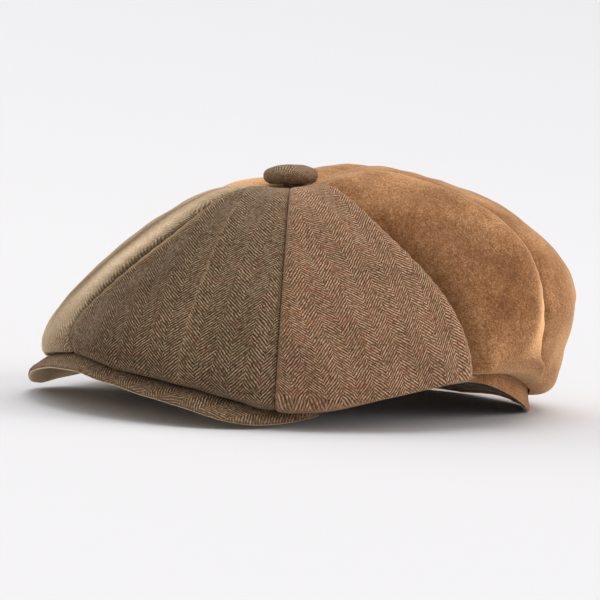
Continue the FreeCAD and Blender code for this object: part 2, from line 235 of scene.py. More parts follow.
def grid_normals(points):
    down = np.gradient(points, axis=0)
    over = np.gradient(points, axis=1)
    normal = np.cross(over, down)
    return normal / np.maximum(np.linalg.norm(normal, axis=-1, keepdims=True), 1e-9)


def widths(points):
    """Running length along each row of a grid."""
    steps = np.linalg.norm(np.diff(points, axis=1), axis=-1)
    return np.concatenate([np.zeros((len(points), 1)), np.cumsum(steps, axis=1)], axis=1)


def arc_length(points):
    steps = np.linalg.norm(np.diff(points, axis=0), axis=-1)
    return np.concatenate([[0.0], np.cumsum(steps)])


def even_steps(line, last, count, fine=600):
    """Values from 0 to last that cut a line into lengths that are all the same."""
    values = np.linspace(0.0, last, fine)
    run = arc_length(line(values))
    return np.interp(np.linspace(0.0, run[-1], count), run, values)


def make_piece(name, points, faces, cloth):
    """A smooth mesh piece. cloth holds each point's place on the flat cloth in
    millimetres and its wear and painted light and shade there."""
    mesh = bpy.data.meshes.new(name)
    mesh.from_pydata((points / 1000.0).tolist(), [], faces)
    mesh.update()
    mesh.attributes.new("cloth", "FLOAT_VECTOR", "POINT").data.foreach_set(
        "vector", np.asarray(cloth, dtype=np.float32).ravel())
    mesh.polygons.foreach_set("use_smooth", [True] * len(mesh.polygons))
    piece = bpy.data.objects.new(name, mesh)
    bpy.context.scene.collection.objects.link(piece)
    return piece


def grid_faces(rows, columns, start, flip, loop):
    """Four-sided faces of a grid of points whose first point is number start."""
    faces = []
    for row in range(rows - 1):
        for column in range(columns if loop else columns - 1):
            right = (column + 1) % columns
            face = [start + row * columns + column, start + row * columns + right,
                    start + (row + 1) * columns + right, start + (row + 1) * columns + column]
            faces.append(face[::-1] if flip else face)
    return faces


def sheet_piece(name, outer, inner, cloth, loop=False):
    """The closed thin solid between two grids of points, rows by columns."""
    rows, columns = outer.shape[:2]
    count = rows * columns
    faces = grid_faces(rows, columns, 0, True, loop) + grid_faces(rows, columns, count, False, loop)
    ends = [(row * columns, (row + 1) * columns) for row in range(rows - 1)]
    far = columns - 1
    if not loop:
        faces += [[a, b, b + count, a + count] for a, b in ends]
        faces += [[b + far, a + far, a + far + count, b + far + count] for a, b in ends]
    last = (rows - 1) * columns
    for column in range(columns if loop else columns - 1):
        right = (column + 1) % columns
        faces.append([right, column, column + count, right + count])
        faces.append([last + column, last + right, last + right + count, last + column + count])
    points = np.concatenate([outer.reshape(-1, 3), inner.reshape(-1, 3)])
    piece = make_piece(name, points, faces, np.concatenate([cloth.reshape(-1, 3)] * 2))
    bpy.context.view_layer.update()
    volume = sum(face.area * face.normal.dot(face.center) for face in piece.data.polygons)
    if volume < 0.0:
        piece.data.flip_normals()
    return piece


def attach(piece, body, node, material):
    """Puts a piece on its body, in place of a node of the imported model."""
    piece.data.materials.append(material)
    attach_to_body(piece, body)
    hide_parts(node)


# --- Materials ----------------------------------------------------------------------

class Graph:
    """A material whose nodes are wired by short calls."""

    def __init__(self, name, roughness=0.85, sheen=0.0, tint=(1.0, 1.0, 1.0), sheen_rough=0.4,
                 metal=0.0, gloss=0.5):
        self.material = bpy.data.materials.new(name)
        self.material.use_nodes = True
        self.tree = self.material.node_tree
        self.shader = self.tree.nodes["Principled BSDF"]
        self.shader.inputs["Roughness"].default_value = roughness
        self.shader.inputs["Sheen Weight"].default_value = sheen
        self.shader.inputs["Sheen Roughness"].default_value = sheen_rough
        self.shader.inputs["Sheen Tint"].default_value = (*tint, 1.0)
        self.shader.inputs["Metallic"].default_value = metal
        self.shader.inputs["Specular IOR Level"].default_value = gloss

    def feed(self, socket, value):
        if isinstance(value, bpy.types.NodeSocket):
            self.tree.links.new(value, socket)
        elif hasattr(value, "__len__") and len(value) == 3 and socket.type == "RGBA":
            socket.default_value = (*value, 1.0)
        else:
            socket.default_value = value

    def math(self, operation, *values, clamp=False):
        node = self.tree.nodes.new("ShaderNodeMath")
        node.operation, node.use_clamp = operation, clamp
        for socket, value in zip(node.inputs, values):
            self.feed(socket, value)
        return node.outputs[0]

    def mix(self, factor, first, second, blend="MIX"):
        node = self.tree.nodes.new("ShaderNodeMix")
        node.data_type, node.blend_type = "RGBA", blend
        for index, value in ((0, factor), (6, first), (7, second)):
            self.feed(node.inputs[index], value)
        return node.outputs[2]

    def noise(self, vector, scale, detail=2.0, rough=0.5):
        node = self.tree.nodes.new("ShaderNodeTexNoise")
        self.feed(node.inputs["Vector"], vector)
        node.inputs["Scale"].default_value = scale
        node.inputs["Detail"].default_value = detail
        node.inputs["Roughness"].default_value = rough
        return node.outputs["Fac"]

    def stretch(self, value, low, high):
        """Maps low..high to 0..1, clamped."""
        node = self.tree.nodes.new("ShaderNodeMapRange")
        self.feed(node.inputs["Value"], value)
        node.inputs["From Min"].default_value = low
        node.inputs["From Max"].default_value = high
        return node.outputs["Result"]

    def join(self, *values):
        node = self.tree.nodes.new("ShaderNodeCombineXYZ")
        for socket, value in zip(node.inputs, values):
            self.feed(socket, value)
        return node.outputs[0]

    def scaled(self, vector, scale):
        node = self.tree.nodes.new("ShaderNodeMapping")
        self.feed(node.inputs["Vector"], vector)
        node.inputs["Scale"].default_value = scale
        return node.outputs["Vector"]

    def cloth(self):
        """The place on the flat cloth in millimetres, as a vector, across and along, and
        its tone channel of wear and painted light: above 0 pale and fuzzy from wear and
        from painted highlights, below 0 deeper in tone from painted shade."""
        node = self.tree.nodes.new("ShaderNodeAttribute")
        node.attribute_name = "cloth"
        split = self.tree.nodes.new("ShaderNodeSeparateXYZ")
        self.feed(split.inputs[0], node.outputs["Vector"])
        return node.outputs["Vector"], split.outputs[0], split.outputs[1], split.outputs[2]

    def wave(self, value, pitch):
        """Ribs from 0 to 1, a pitch apart."""
        turns = self.math("MULTIPLY", value, TURN / pitch)
        return self.math("MULTIPLY_ADD", self.math("COSINE", turns), 0.5, 0.5)

    def place(self):
        """The place on the object in millimetres."""
        node = self.tree.nodes.new("ShaderNodeTexCoord")
        return self.scaled(node.outputs["Object"], (1000.0, 1000.0, 1000.0))

    def bump(self, height, distance, strength=1.0):
        node = self.tree.nodes.new("ShaderNodeBump")
        node.inputs["Strength"].default_value = strength
        node.inputs["Distance"].default_value = distance
        self.feed(node.inputs["Height"], height)
        self.feed(self.shader.inputs["Normal"], node.outputs["Normal"])

    def finish(self, color, roughness=None):
        self.feed(self.shader.inputs["Base Color"], color)
        if roughness is not None:
            self.feed(self.shader.inputs["Roughness"], roughness)
        return self.material


def shade(color, amount):
    """A colour made darker or lighter."""
    return tuple(channel * amount for channel in color)


def herringbone_ribs(g, across, along):
    """Slanted ribs from 0 to 1 that change hand at each column, and how whole their
    yarn is."""
    column, pitch, column_shift = 7.4, 1.62, 0.37
    column_at = g.math("DIVIDE", across, column)
    index = g.math("FLOOR", column_at)
    odd = g.math("PINGPONG", index, 1.0)
    hand = g.math("MULTIPLY_ADD", odd, -2.0, 1.0)
    inside = g.math("MULTIPLY", g.math("SUBTRACT", g.math("FRACT", column_at), 0.5), column)
    slant = g.math("MULTIPLY", hand, inside)
    over_rib = g.math("ADD", along, slant)
    on_rib = g.math("SUBTRACT", along, slant)
    rib = g.wave(g.math("MULTIPLY_ADD", index, column_shift, g.math("DIVIDE", over_rib, pitch)), 1.0)
    along_yarn = g.join(g.math("MULTIPLY", over_rib, 0.75), g.math("MULTIPLY", on_rib, 0.32), index)
    return rib, g.stretch(g.noise(along_yarn, 1.0, 3.0, 0.65), 0.36, 0.64)


def heathered(g, color, flat, red, olive):
    """Soft patches of red and of olive wool."""
    turned = g.scaled(flat, (-1.0, -1.0, 1.0))
    for spot, size, share, tone in ((flat, 0.16, 0.30, red), (turned, 0.14, 0.22, olive)):
        patch = g.stretch(g.noise(spot, size, 3.0, 0.6), 0.50, 0.66)
        color = g.mix(g.math("MULTIPLY", patch, share), color, tone)
    return color


def napped(g, color, dark, light, grain, fleck, wear_and_light, haze):
    """A nap that hides the weave where the tone channel is above 0, from wear and painted
    light, pale and then brighter still where the painted highlights are strongest, and
    clouds of tone all over. Where the tone channel is below 0 the colour is darkened to
    the ground's tone as painted shade."""
    patchy = g.math("SUBTRACT", grain, 0.5)
    pale_from_wear_and_light = g.math("ADD", patchy, g.math("ADD", wear_and_light, haze), clamp=True)
    soft = tuple(0.55 * d + 0.50 * l for d, l in zip(dark, light))
    nap = g.mix(grain, shade(soft, 0.45), shade(soft, 1.55))
    painted_highlight_nap = g.mix(fleck, soft, shade(light, 1.15))
    # Paler from wear and painted light, then a painted highlight.
    color = g.mix(g.math("MULTIPLY", pale_from_wear_and_light, 0.8), color, nap)
    color = g.mix(g.math("SUBTRACT", wear_and_light, 0.7), color, painted_highlight_nap)
    cloud = g.math("MULTIPLY_ADD", g.noise(g.place(), 0.035, 3.0), 0.6, 0.70)
    color = g.mix(1.0, color, g.mix(cloud, (0.0, 0.0, 0.0), (1.0, 1.0, 1.0)), "MULTIPLY")
    # Painted shade where the tone channel is below 0.
    return g.mix(g.math("MULTIPLY", wear_and_light, -0.7), color, dark)


def herringbone(name, dark, light, heather, haze=0.0, stripe=0.0):
    """Wool herringbone: uneven light ribs on a dark, heathered ground, under a nap. haze
    is how worn it is all over, and stripe the strength of a lone pale thread."""
    column_wander, rib_wander = 1.4, 0.8
    stripe_from, stripe_apart = 7.0, 32.0
    g = Graph(name, sheen=0.18, tint=(1.0, 0.78, 0.55), sheen_rough=0.35, gloss=0.15)
    flat, across, along, wear_and_light = g.cloth()
    mirrored = g.scaled(flat, (-1.0, 1.0, 1.0))
    across = g.math("MULTIPLY_ADD", g.noise(flat, 0.22, 2.0), column_wander, across)
    along = g.math("MULTIPLY_ADD", g.noise(mirrored, 0.30, 2.0), rib_wander, along)
    rib, dash = herringbone_ribs(g, across, along)
    grain = g.noise(flat, 1.3, 3.0, 0.7)
    fleck = g.stretch(grain, 0.34, 0.66)
    rib_light = g.math("MULTIPLY", g.math("POWER", rib, 1.2), g.math("MULTIPLY_ADD", dash, 1.05, 0.16))
    rib_light = g.math("MULTIPLY", rib_light, g.math("MULTIPLY_ADD", fleck, 1.10, 0.42), clamp=True)
    color = g.mix(rib_light, dark, light)
    color = heathered(g, color, flat, heather, shade((0.20, 0.17, 0.06), 0.2 + dark[0] * 9.0))
    if stripe:
        at = g.math("PINGPONG", g.math("ADD", across, stripe_from), stripe_apart)
        line = g.math("MULTIPLY", g.stretch(at, 1.0, 0.2), g.stretch(dash, 0.2, 0.9))
        color = g.mix(g.math("MULTIPLY", line, stripe), color, light)
    color = napped(g, color, dark, light, grain, fleck, wear_and_light, haze)
    g.bump(g.math("MULTIPLY_ADD", grain, 0.9, g.math("MULTIPLY", rib, 0.5)), 0.0004, 0.8)
    return g.finish(color, g.math("MULTIPLY_ADD", grain, -0.12, 0.96))


def melton(name, deep, middle, pale, blotch=1.0):
    """Milled wool: no weave to be seen, a mottled felted nap with fine fibres. blotch is
    how strong its large dark patches are."""
    g = Graph(name, sheen=0.7, tint=(1.0, 0.70, 0.42), sheen_rough=0.3, gloss=0.15)
    wear_and_light = g.cloth()[3]
    spot = g.place()
    large = g.noise(spot, 0.045, 3.0, 0.6)
    small = g.noise(spot, 0.28, 3.0, 0.6)
    grain = g.noise(spot, 0.95, 4.0, 0.75)
    fibre = g.noise(g.scaled(spot, (-1.0, 0.8, 1.0)), 1.7, 3.0, 0.7)
    weights = (0.50 * blotch, 0.24, 0.72, 0.62)
    tone = g.math("MULTIPLY", large, weights[0])
    for weight, part in zip(weights[1:], (small, grain, fibre)):
        tone = g.math("MULTIPLY_ADD", part, weight, tone)
    centre, spread = 0.5 * sum(weights), 0.27
    color = g.mix(g.stretch(tone, centre - spread, centre), deep, middle)
    color = g.mix(g.stretch(tone, centre, centre + spread), color, pale)
    # Paler where worn and where light is painted, a painted highlight where the tone channel passes
    # 1.1, and painted shade towards the deep tone where it is below 0.
    pale_from_wear_and_light = g.mix(g.stretch(grain, 0.3, 0.7), middle, shade(pale, 1.5))
    color = g.mix(g.math("MULTIPLY", wear_and_light, 0.7), color, pale_from_wear_and_light)
    color = g.mix(g.math("SUBTRACT", wear_and_light, 1.1), color, shade(pale, 1.4))
    color = g.mix(g.math("MULTIPLY", wear_and_light, -0.7), color, deep)
    g.bump(g.math("MULTIPLY_ADD", grain, 0.9, g.math("MULTIPLY", fibre, 0.5)), 0.0005, 0.8)
    return g.finish(color, g.math("MULTIPLY_ADD", grain, 0.15, 0.80))


def twill(name, base, rib_pitch=0.9, sheen=0.25, roughness=0.8):
    """A close cotton or satin twill: one slanted rib, worn a little on its high spots."""
    g = Graph(name, roughness=roughness, sheen=sheen)
    flat, across, along = g.cloth()[:3]
    rib = g.wave(g.math("MULTIPLY_ADD", across, 0.8, along), rib_pitch)
    wear = g.noise(g.place(), 0.06, 3.0)
    tone = g.math("MULTIPLY_ADD", rib, 0.35, g.math("MULTIPLY", wear, 0.65))
    color = g.mix(tone, shade(base, 0.62), shade(base, 1.45))
    g.bump(g.math("MULTIPLY_ADD", g.noise(flat, 3.0), 0.4, rib), 0.00018, 0.6)
    return g.finish(color)


def ribbed_elastic(name):
    """Woven elastic: lengthwise rubber ribs crossed by fine white yarn."""
    g = Graph(name, roughness=0.75, sheen=0.2)
    spot = g.place()
    split = g.tree.nodes.new("ShaderNodeSeparateXYZ")
    g.feed(split.inputs[0], spot)
    rib = g.wave(split.outputs[2], 1.4)
    yarn = g.noise(g.scaled(spot, (3.0, 3.0, 0.4)), 1.2, 2.0)
    color = g.mix(g.math("MULTIPLY", rib, yarn), (0.42, 0.40, 0.36), (0.82, 0.80, 0.74))
    g.bump(g.math("ADD", rib, yarn), 0.0002, 0.7)
    return g.finish(color)


def worn_metal(name, base, roughness):
    """Pressed or plated metal with faint drawing marks and duller patches."""
    g = Graph(name, metal=1.0)
    spot = g.place()
    marks = g.noise(g.scaled(spot, (0.4, 6.0, 0.4)), 1.0, 3.0)
    dull = g.noise(spot, 0.25, 3.0)
    color = g.mix(dull, shade(base, 0.72), base)
    g.bump(marks, 0.00003, 0.3)
    return g.finish(color, g.math("MULTIPLY_ADD", dull, 0.25, roughness))


def moulded_board(name):
    """The peak's stiffener: off-white moulded sheet with a matt grain."""
    g = Graph(name)
    spot = g.place()
    grain = g.noise(spot, 1.6, 3.0)
    color = g.mix(g.noise(spot, 0.08, 2.0), (0.55, 0.54, 0.50), (0.70, 0.69, 0.65))
    g.bump(grain, 0.00008, 0.4)
    return g.finish(color, g.math("MULTIPLY_ADD", grain, 0.2, 0.45))


# Woven cloths: ground, rib and heather colours. Milled cloths: deep, middle and pale.
DARK_CLOTH = herringbone("dark_herringbone_cloth", (0.030, 0.016, 0.009), (0.50, 0.34, 0.20),
                         (0.14, 0.035, 0.018), stripe=0.5)
BROWN_CLOTH = herringbone("brown_herringbone_cloth", (0.071, 0.0275, 0.0125), (0.70, 0.435, 0.27),
                          (0.26, 0.082, 0.04))
LIGHT_CLOTH = herringbone("light_herringbone_cloth", (0.155, 0.098, 0.052), (0.86, 0.65, 0.44),
                          (0.34, 0.20, 0.10), haze=0.50)
PEAK_CLOTH = herringbone("peak_cloth_wool", (0.028, 0.015, 0.008), (0.52, 0.34, 0.20),
                         (0.13, 0.038, 0.018))
TAN_CLOTH = melton("tan_melton_cloth", (0.085, 0.032, 0.012), (0.30, 0.130, 0.050),
                   (0.65, 0.365, 0.180))
UNDER_CLOTH = melton("underpeak_wool", (0.50, 0.36, 0.22), (0.74, 0.57, 0.38),
                     (0.90, 0.75, 0.55), blotch=0.5)
LINING_CLOTH = twill("lining_satin_weave", (0.13, 0.078, 0.048), 0.7, 0.15, 0.38)
SWEAT_CLOTH = twill("sweatband_twill", (0.46, 0.30, 0.185), 1.0)
BOARD = moulded_board("peak_stiffener")


# --- Crown panels -------------------------------------------------------------------

# Each panel: its name and CAD node, cloth, how much fuller its upper half is than the
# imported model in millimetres, and how square its puff is towards each of its seams.
PANELS = (
    ("crown_front_left", "panel_front_left", DARK_CLOTH, 0.0, 3.0, 9.0),
    ("crown_side_left", "panel_side_left", BROWN_CLOTH, 0.0, 9.0, 6.0),
    ("crown_rear_side_left", "panel_rear_side_left", TAN_CLOTH, 4.5, 2.2, 6.0),
    ("crown_back_left", "panel_back_left", TAN_CLOTH, 1.0, 2.2, 2.4),
    ("crown_back_right", "panel_back_right", TAN_CLOTH, 1.2, 2.4, 2.4),
    ("crown_rear_side_right", "panel_rear_side_right", TAN_CLOTH, 2.2, 2.4, 2.4),
    ("crown_side_right", "panel_side_right", TAN_CLOTH, 3.8, 2.4, 2.4),
    ("crown_front_right", "panel_front_right", LIGHT_CLOTH, 0.0, 2.4, 5.0),
)
PANEL_ROWS, PANEL_COLUMNS = 128, 61
# The puff grows from nothing at the axis to full this far out, clear of the button.
BUTTON_CLEAR = 25.0
# Depths of the two columns of points that make each turned-in edge.
TURN_IN = (3.0, 1.5)
# Slack cloth: height and size of its lumps in millimetres, and seed.
SLACK = ((0.45, 34.0, 100), (0.22, 15.0, 200))
# How far the crown's lower edge sags: millimetres, direction in degrees, spread.
SAGS = ((2.4, 54.0, 10.0), (-5.0, 88.0, 13.0), (8.5, 172.0, 14.0), (4.0, -165.0, 16.0))


def settle(points, angle, steps):
    """Lets the crown's lower cloth hang and rest on the peak."""
    degrees = (np.degrees(angle) + 180.0) % 360.0 - 180.0
    turned = np.radians(degrees)
    x, y, height = points[..., 0], points[..., 1], points[..., 2]
    hanging = np.clip((steps - 0.95) / 0.35, 0.0, 1.0)
    height = height - bumps(SAGS, degrees) * hanging
    past_edge_drop, nothing_below = 8.0, -50.0
    over = np.clip((outline_reach(turned) - np.hypot(x, y - APEX_BACK)) / 3.0, 0.0, 1.0)
    on_peak = peak_top(x, y) + CLOTH - past_edge_drop * (1.0 - over)
    lowest = np.where((np.abs(turned) < PEAK_END) & (steps > 1.0), on_peak, nothing_below)
    return together(x, y, np.maximum(height, lowest))


def fold(amount, measure, across, down=None, slant=0.0):
    """A fold, or a band of painted light and shade: how much, what across is a function
    of ("share" of the width, -1 to 1, or millimetres from the "low" or "high" seam),
    its shape across, its shape by step down the panel (the same all the way if None),
    and how far it slants with each step."""
    return amount, measure, across, down, slant


# Folds and proud edges set in the cloth of some panels, in millimetres of lift.
FOLDS = {
    0: (fold(-0.5, "high", around(0.0, 5.0)),
        fold(1.7, "low", around(7.0, 3.0), around(0.50, 0.30))),
    1: (fold(0.5, "low", around(3.0, 5.0)),
        fold(1.3, "high", around(4.0, 6.0), around(0.90, 0.80))),
    2: (fold(-2.4, "low", around(2.0, 7.0), around(0.80, 0.70)),
        fold(7.5, "share", around(0.55, 0.55), around(0.62, 0.32)),
        fold(4.2, "high", around(4.0, 4.0), around(1.15, 0.36))),
    3: (fold(5.0, "share", around(-0.75, 0.50), around(0.62, 0.28)),
        fold(2.0, "share", around(-0.35, 0.45), around(0.92, 0.22)),
        fold(-2.2, "share", around(-0.35, 0.45), around(1.28, 0.20)),
        fold(-3.8, "low", around(3.0, 6.5), around(1.05, 0.36)),
        fold(-1.4, "share", around(-1.025, 0.10), around(1.40, 0.22), slant=0.5)),
    7: (fold(1.4, "share", around(0.84, 0.15), around(0.55, 0.35)),
        fold(1.0, "share", np.ones_like, around(0.50, 0.20)),
        fold(-0.8, "share", np.ones_like, around(0.92, 0.16))),
}

# Painted light and shade on the panels' cloth, in its tone channel: above 0 paler, a painted highlight;
# below 0 deeper in tone, painted shade.
PAINTED_LIGHT_AND_SHADE = {
    # Front left: painted highlight on the crest by the front seam, painted shadow in that seam, painted
    # shade over its front half.
    0: (fold(1.50, "low", around(7.0, 2.6), around(0.46, 0.22)),
        fold(-1.60, "low", around(0.0, 2.6)),
        fold(-0.42, "share", around(-0.55, 0.40))),
    # Side left: a painted highlight along its edge at the seam with the front left panel.
    1: (fold(0.35, "low", around(0.0, 2.0)),),
    # Rear side left: painted shade along its front seam and across its middle, painted light near the
    # widest line and across its top, and a strong painted highlight on the ridge by its rear seam.
    2: (fold(-0.70, "low", around(2.0, 7.0), around(0.70, 0.50)),
        fold(-0.55, "share", around(-0.25, 0.45), around(0.57, 0.14)),
        fold(0.30, "share", around(0.0, 0.50), around(0.98, 0.14)),
        fold(2.10, "high", around(6.0, 5.0), around(0.92, 0.24)),
        fold(0.40, "share", np.ones_like, around(0.30, 0.10))),
    # Back left: painted shade in the hollow beside its front seam, painted light below its widest line.
    3: (fold(-1.05, "low", around(5.0, 5.5), around(1.00, 0.36)),
        fold(1.00, "share", around(-0.22, 0.25), around(1.20, 0.35))),
    # Side right: a painted highlight across its upper part.
    6: (fold(1.15, "share", np.ones_like, around(0.20, 0.13)),),
    # Front right: a painted highlight on the crest by the front seam with painted shade beside it,
    # painted shadow in that seam, and its lower part painted paler, with painted shade near the seam
    # there.
    7: (fold(1.7, "share", around(0.86, 0.13), around(0.50, 0.30)),
        fold(-1.4, "share", around(0.52, 0.13), around(0.50, 0.30)),
        fold(-1.9, "high", around(0.0, 2.4), around(0.50, 0.30)),
        fold(1.9, "share", around(0.05, 0.50), beyond(0.80, 0.15)),
        fold(-0.7, "share", around(0.95, 0.25), beyond(0.80, 0.15))),
}


def folded(rows, share, steps, run):
    """The sum of some folds, or bands of painted light and shade, over a panel. run is the distance
    from its low seam.
    """
    share = np.broadcast_to(share, run.shape)
    measured = {"share": share, "low": run, "high": run[:, -1:] - run}
    total = np.zeros_like(run)
    for amount, measure, across, down, slant in rows:
        shape = across(measured[measure] - slant * steps)
        total += amount * shape * (down(steps) if down else 1.0)
    return total


def puffed(index, share, steps, angle, extra, squares):
    """The crown's surface with the panel puffed between its seams, its outward direction
    and its distance from the crown's axis before the puff."""
    radius, height, level, rise, swell = crown_line(angle, steps)
    outward = together(level * np.sin(angle), -level * np.cos(angle), rise)
    square_low, square_high = squares
    square = np.where(share < 0.0, square_low, square_high)
    fall = np.where(share < 0.0, SEAM_FALL[index], SEAM_FALL[index + 1])
    belly = 1.0 - fall * np.abs(share) ** square
    full = PUFF * swell + extra * bell((steps - 0.56) / 0.32)
    puff = full * belly * np.clip(radius / BUTTON_CLEAR, 0.0, 1.0)
    points = place(angle, radius, height) + puff[..., None] * outward
    return points, outward, radius


def slack_and_seams(index, points, steps, radius, along, to_seam):
    """Lift in millimetres: slack cloth in between, small puckers along the seams, and
    edges rolled down into them."""
    slack_clear, pucker_high, pucker_apart = 14.0, 0.22, 7.5
    roll_deep, roll_wide, hollow_deep, hollow_wide = 1.2, 1.7, 0.2, 3.0
    under_button, last_step = 12.0, 1.65
    slack = sum(high * wobble(points, size, seed + index) for high, size, seed in SLACK)
    slack *= np.clip(to_seam / slack_clear, 0.0, 1.0)
    pucker = np.sin(TURN * (along + 2.0 * wobble(points, 30.0, 300 + index)) / pucker_apart)
    pucker = pucker_high * pucker * bell((to_seam - 3.0) / 4.0)
    roll = np.clip(1.0 - to_seam / roll_wide, 0.0, 1.0)
    groove = -roll_deep * (1.0 - np.sqrt(1.0 - 0.98 * roll ** 2))
    groove = groove - hollow_deep * bell(to_seam / hollow_wide)
    groove *= np.clip((radius - under_button) / 18.0, 0.0, 1.0)
    groove *= np.clip((last_step - steps) / 0.3, 0.12, 1.0)
    return slack + pucker + groove


def turned_in(points, outward, steps):
    """Adds the seam allowances: two columns on each side, turned down into the cap."""
    depths = np.array(TURN_IN)[None, :, None] * np.minimum(1.0, steps * 5.0)[:, :, None]
    low_side = points[:, :1] - depths * outward[:, :1]
    high_side = points[:, -1:] - depths[:, ::-1] * outward[:, -1:]
    return np.concatenate([low_side, points, high_side], axis=1)


def crown_panel(index, name, node, cloth, extra, square_low, square_high):
    """One gore of the crown, shaped, thickened and put on the cap in place of its CAD node."""
    middle = np.radians(0.5 * (SEAM_DEGREES[index] + SEAM_DEGREES[index + 1]))
    steps = even_steps(lambda s: place(middle, *crown_line(middle, s)[:2]), 2.0, PANEL_ROWS)[:, None]
    even = np.linspace(-1.0, 1.0, PANEL_COLUMNS)
    share = (0.35 * even + 0.65 * np.sin(even * math.pi / 2.0))[None, :]
    low, high = seam_angle(index, steps), seam_angle(index + 1, steps)
    angle = low + (share + 1.0) / 2.0 * (high - low)
    points, outward, radius = puffed(index, share, steps, angle, extra, (square_low, square_high))
    points = settle(points, angle, steps)

    centre = PANEL_COLUMNS // 2
    run = widths(points)
    across = run - np.array([np.interp(middle, *row) for row in zip(angle, run)])[:, None]
    along = arc_length(points[:, centre])[:, None]
    to_seam = np.minimum(run, run[:, -1:] - run)
    near_apex = np.clip((steps - 0.06) / 0.14, 0.0, 1.0)
    lift = slack_and_seams(index, points, steps, radius, along, to_seam)
    lift += near_apex * folded(FOLDS.get(index, ()), share, steps, run)
    points = turned_in(points + lift[..., None] * outward, outward, steps)

    normal = grid_normals(points)
    middle_rows = slice(40, 80)
    normal *= np.sign((normal[:, 2:-2] * outward)[middle_rows, centre].sum())
    inner = points - CLOTH * normal * np.clip(steps * 6.0, 0.45, 1.0)[..., None]

    # Tone channel: wear near the apex and along the seams, painted light where the cloth faces
    # downwards, and the panel's painted light and shade.
    apex_worn, underside_painted_light, edge_worn = 0.75, 0.9, 0.2
    under = np.clip(-normal[:, 2:-2, 2] - 0.15, 0.0, 0.6)
    wear_and_light = apex_worn * bell(radius / 30.0) + underside_painted_light * under + edge_worn * bell(to_seam / 2.0)
    wear_and_light = wear_and_light + folded(PAINTED_LIGHT_AND_SHADE.get(index, ()), share, steps, run)
    grain = math.radians(7.0) if index < 2 else 0.0
    flat = together(across * math.cos(grain) - along * math.sin(grain),
                    along * math.cos(grain) + across * math.sin(grain), wear_and_light)
    flat = np.pad(flat, ((0, 0), (2, 2), (0, 0)), mode="edge")
    piece = sheet_piece(name, points, inner, flat)
    attach(piece, "cap", node, cloth)


for number, panel in enumerate(PANELS):
    crown_panel(number, *panel)


# --- Strips round the opening --------------------------------------------------------

def strip(name, node, cloth, inset, thick, foot, top, hem, meet):
    """An upright strip of cloth all round the rim, with soft rounded edges. hem is how
    far its foot flares at the back, and meet how far it is sewn outwards all round."""
    columns, rows, lowest = 420, 15, 0.6
    gather_high, gather_apart, drift, drift_apart = 0.12, 8.3, 1.6, 21.0
    round_share, round_deep = 0.06, 0.35 * thick
    angle = np.linspace(math.pi, 3.0 * math.pi, columns, endpoint=False)[None, :]
    share = 0.5 - 0.5 * np.cos(np.linspace(0.0, math.pi, rows)[:, None])
    radius = reach(angle, RIM_WIDE, RIM_LONG)
    rim = rim_height(APEX_BACK - radius * np.cos(angle))
    low = np.maximum(rim + foot, lowest)
    height = low + share * (rim + top - low)
    back = np.clip(-np.cos(angle), 0.0, 1.0) ** 1.5
    around_rim = arc_length(place(angle[0], radius[0], 0.0))[None, :]
    uneven = drift * np.sin(around_rim / drift_apart)
    gather = gather_high * back * np.sin(TURN * around_rim / gather_apart + uneven)
    flare = hem * back * (1.0 - share) ** 3 + meet * (1.0 - share) ** 4
    edge = np.maximum(0.0, 1.0 - np.minimum(share, 1.0 - share) / round_share) ** 2
    outside = radius - inset + gather * (1.0 - 0.5 * share) + flare
    points = place(angle, outside - round_deep * edge, height)
    points[..., 2] += 0.25 * wobble(points, 40.0, 7) * (1.0 - share)
    inner = place(angle, outside - thick + round_deep * edge, height)
    inner[..., 2] = points[..., 2]
    flat = together(around_rim, share * (top - foot), 0.25 * edge)
    piece = sheet_piece(name, points, inner, flat, loop=True)
    attach(piece, "cap", node, cloth)


strip("outer_band", "head_band", TAN_CLOTH, inset=0.0, thick=1.2,
      foot=0.0, top=BAND_HIGH, hem=2.6, meet=0.0)
strip("inner_sweatband", "sweatband", SWEAT_CLOTH, inset=2.6, thick=1.0,
      foot=1.6, top=23.5, hem=2.3, meet=1.1)


def lining_gore(name, node, first, last, seed):
    """A quarter of the satin lining, slack and softly crumpled."""
    columns, rows = 60, 60
    full, apex, above_rim, clear, thick = 1.75, 95.0, 22.0, 1.5, 0.4
    angle = np.radians(np.linspace(first, last, columns))[None, :]
    rim = reach(angle, RIM_WIDE, RIM_LONG)
    foot = rim_height(APEX_BACK - rim * np.cos(angle)) + above_rim
    edge = rim - clear
    start = APEX_HOLE / edge

    def dome(step):
        out = start + (1.0 - start) * np.sin(step * math.pi / 2.0)
        up = np.maximum(0.0, 1.0 - out ** full) ** (1.0 / full)
        return place(angle, edge * out, foot + (apex - foot) * up)

    steps = even_steps(lambda s: dome(s[:, None])[:, columns // 2], 1.0, rows)[:, None]
    points = dome(steps)
    normal = grid_normals(points)
    from_inside = points - np.array([0.0, APEX_BACK, 20.0])
    normal *= np.sign((normal * from_inside).sum(-1))[..., None]
    run = widths(points)
    to_seam = np.minimum(run, run[:, -1:] - run)
    free = np.clip(to_seam / 10.0, 0.0, 1.0) * np.clip((1.0 - steps) * 8.0, 0.0, 1.0)
    crumple = 1.3 * wobble(points, 38.0, seed) + 0.8 * wobble(points, 17.0, seed + 1)
    lift = crumple * free - 2.0 * free - 0.8 * bell(to_seam / 1.6)
    points = points + lift[..., None] * normal
    inner = points - thick * normal
    along = arc_length(points[:, columns // 2])[:, None]
    piece = sheet_piece(name, points, inner, together(run, along, 0.0))
    attach(piece, "cap", node, LINING_CLOTH)


for quarter, side in enumerate(("front_left", "back_left", "back_right", "front_right")):
    start = 90.0 * quarter
    lining_gore("lining_gore_" + side, "lining_" + side, start, start + 90.0, 400 + 10 * quarter)


# --- Peak ----------------------------------------------------------------------------

